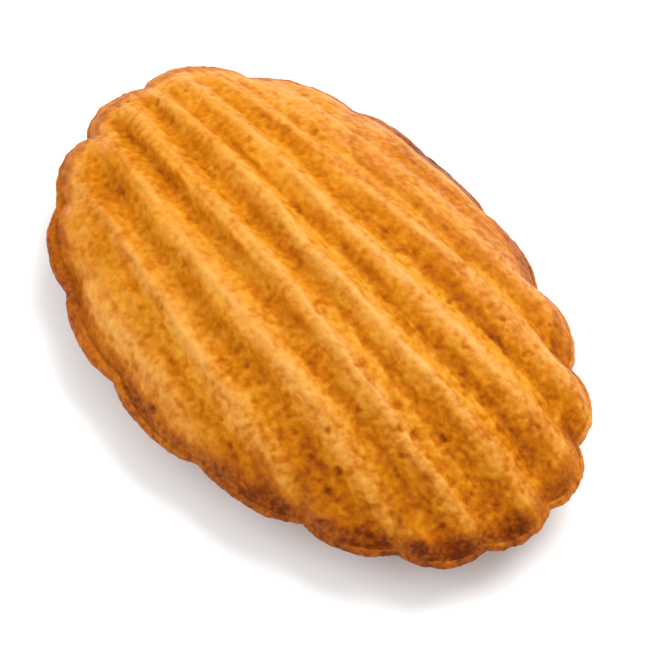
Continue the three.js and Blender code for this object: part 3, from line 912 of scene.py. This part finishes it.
def bake_relief(blank, material):
    """Runs the crust tree over the blank and keeps the result as a plain mesh."""
    inputs = {
        "Groove softness": GROOVE_SOFTNESS,
        "Rib fullness": RIB_FULLNESS,
        "Rib lean": RIB_LEAN,
        "Rib wander": RIB_WANDER,
        "Bead half width": BEAD_HALF_WIDTH,
        "Crumb size": CRUMB_SIZE * MM,
        "Crumb height": CRUMB_HEIGHT * MM,
        "Lump size": LUMP_SIZE * MM,
        "Lump height": LUMP_HEIGHT * MM,
        "Pore size": PORE_SIZE * MM,
        "Pore depth": PORE_DEPTH * MM,
        "Grain size": GRAIN_SIZE * MM,
        "Gap depth": GAP_DEPTH * MM,
        "Wrinkle height": WRINKLE_HEIGHT * MM,
        "Wrinkles to a metre": 1 / (WRINKLE_LENGTH * MM),
        "Wrinkles to a rib": WRINKLES_PER_RIB,
        "Pit density": PIT_DENSITY / MM**2,
        "Smallest pit": PIT_RADII[0] * MM,
        "Largest pit": PIT_RADII[1] * MM,
        "Pit depth": PIT_DEPTH,
        "Bubble depth": BUBBLE_DEPTH * MM,
        "Seed": CRUST_SEED,
        "Crust": material,
    }
    tree = crust_tree(inputs)
    modifier = blank.modifiers.new("crust_relief", "NODES")
    modifier.node_group = tree
    for socket in tree.interface.items_tree:
        if socket.in_out == "INPUT" and socket.name in inputs:
            modifier[socket.identifier] = inputs[socket.name]
    bpy.context.view_layer.update()
    shaped = blank.evaluated_get(bpy.context.evaluated_depsgraph_get())
    finished = bpy.data.meshes.new_from_object(shaped)
    blank.modifiers.remove(modifier)
    blank.data = finished
    blank.data.name = "madeleine_crust"
    return blank


# ---------------------------------------------------------------- materials


def empty_material(name):
    material = bpy.data.materials.new(name)
    material.use_nodes = True
    material.node_tree.nodes.clear()
    return material, material.node_tree


def sponge_crust():
    """Baked sponge crust: matt golden crumb, browned deeply along the rim and darker in the grooves.

    The crowns have the satin polish that the buttered tin gave them, and a paler colour that is a
    painted highlight. Singed grain stands along the rim. The grooves are darker, partly by browning
    and partly by painted shade, and the crumb's hollows and wrinkles carry painted light and shade.
    What follows the cake's form comes from what each place kept.
    """
    material, tree = empty_material("baked_sponge_crust")
    place = node(tree, "ShaderNodeTexCoord").outputs["Object"]
    kept = {
        name: node(tree, "ShaderNodeAttribute", attribute_name=name).outputs["Fac"]
        for name in ("browning_and_painted_light", "crumb", "groove", "low_crumb", "pit", "wrinkle")
    }
    uneven = {}
    for name, size, detail in CRUST_PATTERNS:
        noise = node(
            tree, "ShaderNodeTexNoise", {"Vector": place, "Scale": 1 / (size * MM), "Detail": detail}
        )
        uneven[name] = node(tree, "ShaderNodeMath", {0: noise, 1: 0.5}, operation="SUBTRACT")
    crumb_place = node(tree, "ShaderNodeAttribute", attribute_name="crumb_place").outputs["Vector"]
    gaps = crumb_gaps(tree, crumb_place, GRAIN_SIZE * MM)

    blotches = node(tree, "ShaderNodeMapRange", {"Value": uneven["blotch"], RANGE: BLOTCHY_EDGE})
    edge = node(tree, "ShaderNodeMath", {0: kept["browning_and_painted_light"], 1: blotches}, operation="MULTIPLY")
    calm = node(tree, "ShaderNodeMapRange", {"Value": edge, RANGE: CALM_RIM})
    crown = node(tree, "ShaderNodeMapRange", {"Value": kept["groove"], RANGE: PAINTED_CROWN_HIGHLIGHT})
    along = node(tree, "ShaderNodeSeparateXYZ", {0: place}).outputs["X"]
    polished = node(tree, "ShaderNodeMapRange", {"Value": along, RANGE: NARROW_END_POLISH})

    # The browning is a sum of patterns, each with its weight. Some follow the relief as painted light and
    # shade.
    browned = PLAIN_BROWNING
    for weight, *patterns in (
        (0.3, uneven["cloud"]),
        (0.35, uneven["mottle"], calm),
        (0.7, uneven["speck"], kept["crumb"], calm),
        (0.6, uneven["grain"], edge),
        # The gaps between the grains and the low crumb are darker: painted shade in hollows.
        (0.12, gaps, kept["crumb"], calm),
        (0.16, kept["low_crumb"]),
        # Wrinkles are paler on their ridges and darker in their furrows: painted light and shade.
        (-0.2, kept["wrinkle"]),
        # Pits are darker: painted shade in hollows.
        (0.22, kept["pit"]),
        # The grooves are darker, partly browner crust and partly painted shade.
        (0.2, kept["groove"]),
        # The crowns are paler, less so at the narrow end: a painted highlight.
        (-0.1, crown, polished),
        (0.66, edge),
    ):
        part = patterns[0]
        for pattern in patterns[1:]:
            part = node(tree, "ShaderNodeMath", {0: part, 1: pattern}, operation="MULTIPLY")
        browned = node(
            tree, "ShaderNodeMath", {0: part, 1: weight, 2: browned}, operation="MULTIPLY_ADD"
        )
    on_ramp = node(tree, "ShaderNodeMath", {0: browned, 1: FULLY_BROWNED}, operation="MULTIPLY")
    ramp = node(tree, "ShaderNodeValToRGB", {"Fac": on_ramp})
    while len(ramp.color_ramp.elements) < len(CRUST_COLOURS):
        ramp.color_ramp.elements.new(0.5)
    for element, (place_on_ramp, colour) in zip(ramp.color_ramp.elements, CRUST_COLOURS):
        element.position = place_on_ramp
        element.color = linear(colour)

    polish = node(tree, "ShaderNodeMapRange", {"Value": kept["groove"], RANGE: GROOVE_POLISH})
    dry_rim = node(tree, "ShaderNodeMapRange", {"Value": browned, RANGE: RIM_POLISH})
    for share in (dry_rim, polished):
        polish = node(tree, "ShaderNodeMath", {0: polish, 1: share}, operation="MULTIPLY")
    bump = node(
        tree,
        "ShaderNodeBump",
        {"Strength": 1.0, "Distance": GRAIN_HEIGHT * MM, "Height": uneven["grain"]},
    )
    shader = node(
        tree,
        "ShaderNodeBsdfPrincipled",
        {
            "Base Color": ramp,
            "Roughness": 0.42,
            "IOR": 1.45,
            "Specular IOR Level": polish,
            "Subsurface Weight": 0.15,
            "Subsurface Radius": (1.0, 0.45, 0.2),
            "Subsurface Scale": 1.0 * MM,
            "Normal": bump,
        },
    )
    node(tree, "ShaderNodeOutputMaterial", {"Surface": shader})
    return material


def white_card():
    """Matt white card: even and nearly without a shine, so that the cake's shadow shows on it."""
    material, tree = empty_material("white_card")
    shader = node(
        tree,
        "ShaderNodeBsdfPrincipled",
        {"Base Color": linear("#F7F8F8"), "Roughness": 0.9, "Specular IOR Level": 0.1},
    )
    node(tree, "ShaderNodeOutputMaterial", {"Surface": shader})
    return material


# ---------------------------------------------------------------- floor, light and camera


def floor():
    corners = [(x * FLOOR_HALF, y * FLOOR_HALF, 0) for x, y in ((-1, -1), (1, -1), (1, 1), (-1, 1))]
    mesh = bpy.data.meshes.new("floor")
    mesh.from_pydata(corners, [], [(0, 1, 2, 3)])
    mesh.materials.append(white_card())
    card = bpy.data.objects.new("floor", mesh)
    bpy.context.scene.collection.objects.link(card)


def away_from(azimuth, elevation):
    """The direction from the cake towards something seen at an azimuth and elevation."""
    turn, rise = math.radians(azimuth), math.radians(elevation)
    return Vector((math.sin(turn) * math.cos(rise), -math.cos(turn) * math.cos(rise), math.sin(rise)))


def facing(azimuth, elevation):
    """The turn that makes a camera or a lamp look back from there."""
    return (-away_from(azimuth, elevation)).to_track_quat("-Z", "Y").to_euler()


def camera():
    lens = bpy.data.cameras.new("camera")
    lens.sensor_width = SENSOR_WIDTH
    lens.lens = SENSOR_WIDTH * VIEW_DISTANCE / VIEW_WIDTH
    lens.clip_start = 0.01
    lens.clip_end = 20
    eye = bpy.data.objects.new("camera", lens)
    bpy.context.scene.collection.objects.link(eye)
    eye.location = VIEW_CENTRE + away_from(VIEW_AZIMUTH, VIEW_ELEVATION) * VIEW_DISTANCE
    eye.rotation_euler = facing(VIEW_AZIMUTH, VIEW_ELEVATION)
    bpy.context.scene.camera = eye


def softbox(name, azimuth, elevation, distance, size, power):
    light = bpy.data.lights.new(name, "AREA")
    light.shape = "SQUARE"
    light.size = size
    light.energy = power
    box = bpy.data.objects.new(name, light)
    bpy.context.scene.collection.objects.link(box)
    box.location = away_from(azimuth, elevation) * distance
    box.rotation_euler = facing(azimuth, elevation)


def studio_light():
    softbox("key_softbox", azimuth=188, elevation=52, distance=0.9, size=0.7, power=8.2)
    softbox("fill_softbox", azimuth=330, elevation=40, distance=1.2, size=1.2, power=6.5)
    world = bpy.data.worlds.new("studio")
    world.use_nodes = True
    background = world.node_tree.nodes["Background"]
    background.inputs["Color"].default_value = linear("#FFFFFF")
    background.inputs["Strength"].default_value = SKY_STRENGTH
    bpy.context.scene.world = world
    bpy.context.scene.view_settings.view_transform = "Standard"


def madeleine():
    crust = bake_relief(cake_blank(), sponge_crust())
    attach(crust, "root")
    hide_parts("madeleine")


camera()
floor()
studio_light()
madeleine()
